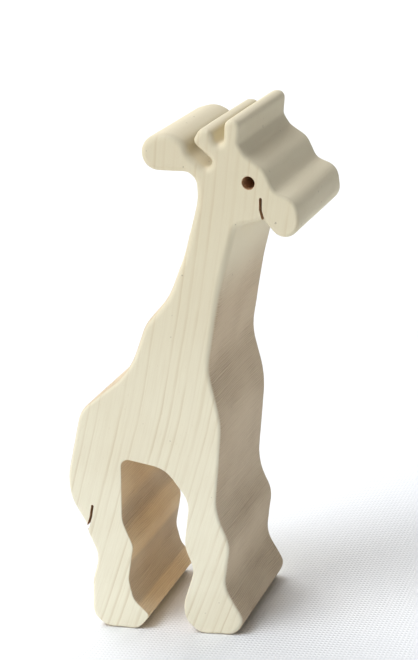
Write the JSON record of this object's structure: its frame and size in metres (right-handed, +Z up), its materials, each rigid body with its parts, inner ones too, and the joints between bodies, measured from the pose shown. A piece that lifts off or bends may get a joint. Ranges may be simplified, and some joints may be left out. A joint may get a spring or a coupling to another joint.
{
  "type": "wooden giraffe figure",
  "caption": "Standing giraffe figure sawn in profile from one thick board, with an open arch between the legs, rounded sanded edges, a drilled eye and sawn mouth and tail slits.",
  "frame": {"origin": "on the ground, under the middle of the figure's box", "axes": "+X from the rump towards the muzzle, Y through the board's thickness, +Z up"},
  "size_m": [0.0816, 0.038, 0.1524],
  "materials": {
    "wood": "bare pale close-grained hardwood, sawn and sanded, no varnish"
  },
  "bodies": {
    "root": {"giraffe": "wood"}
  },
  "joints": []
}
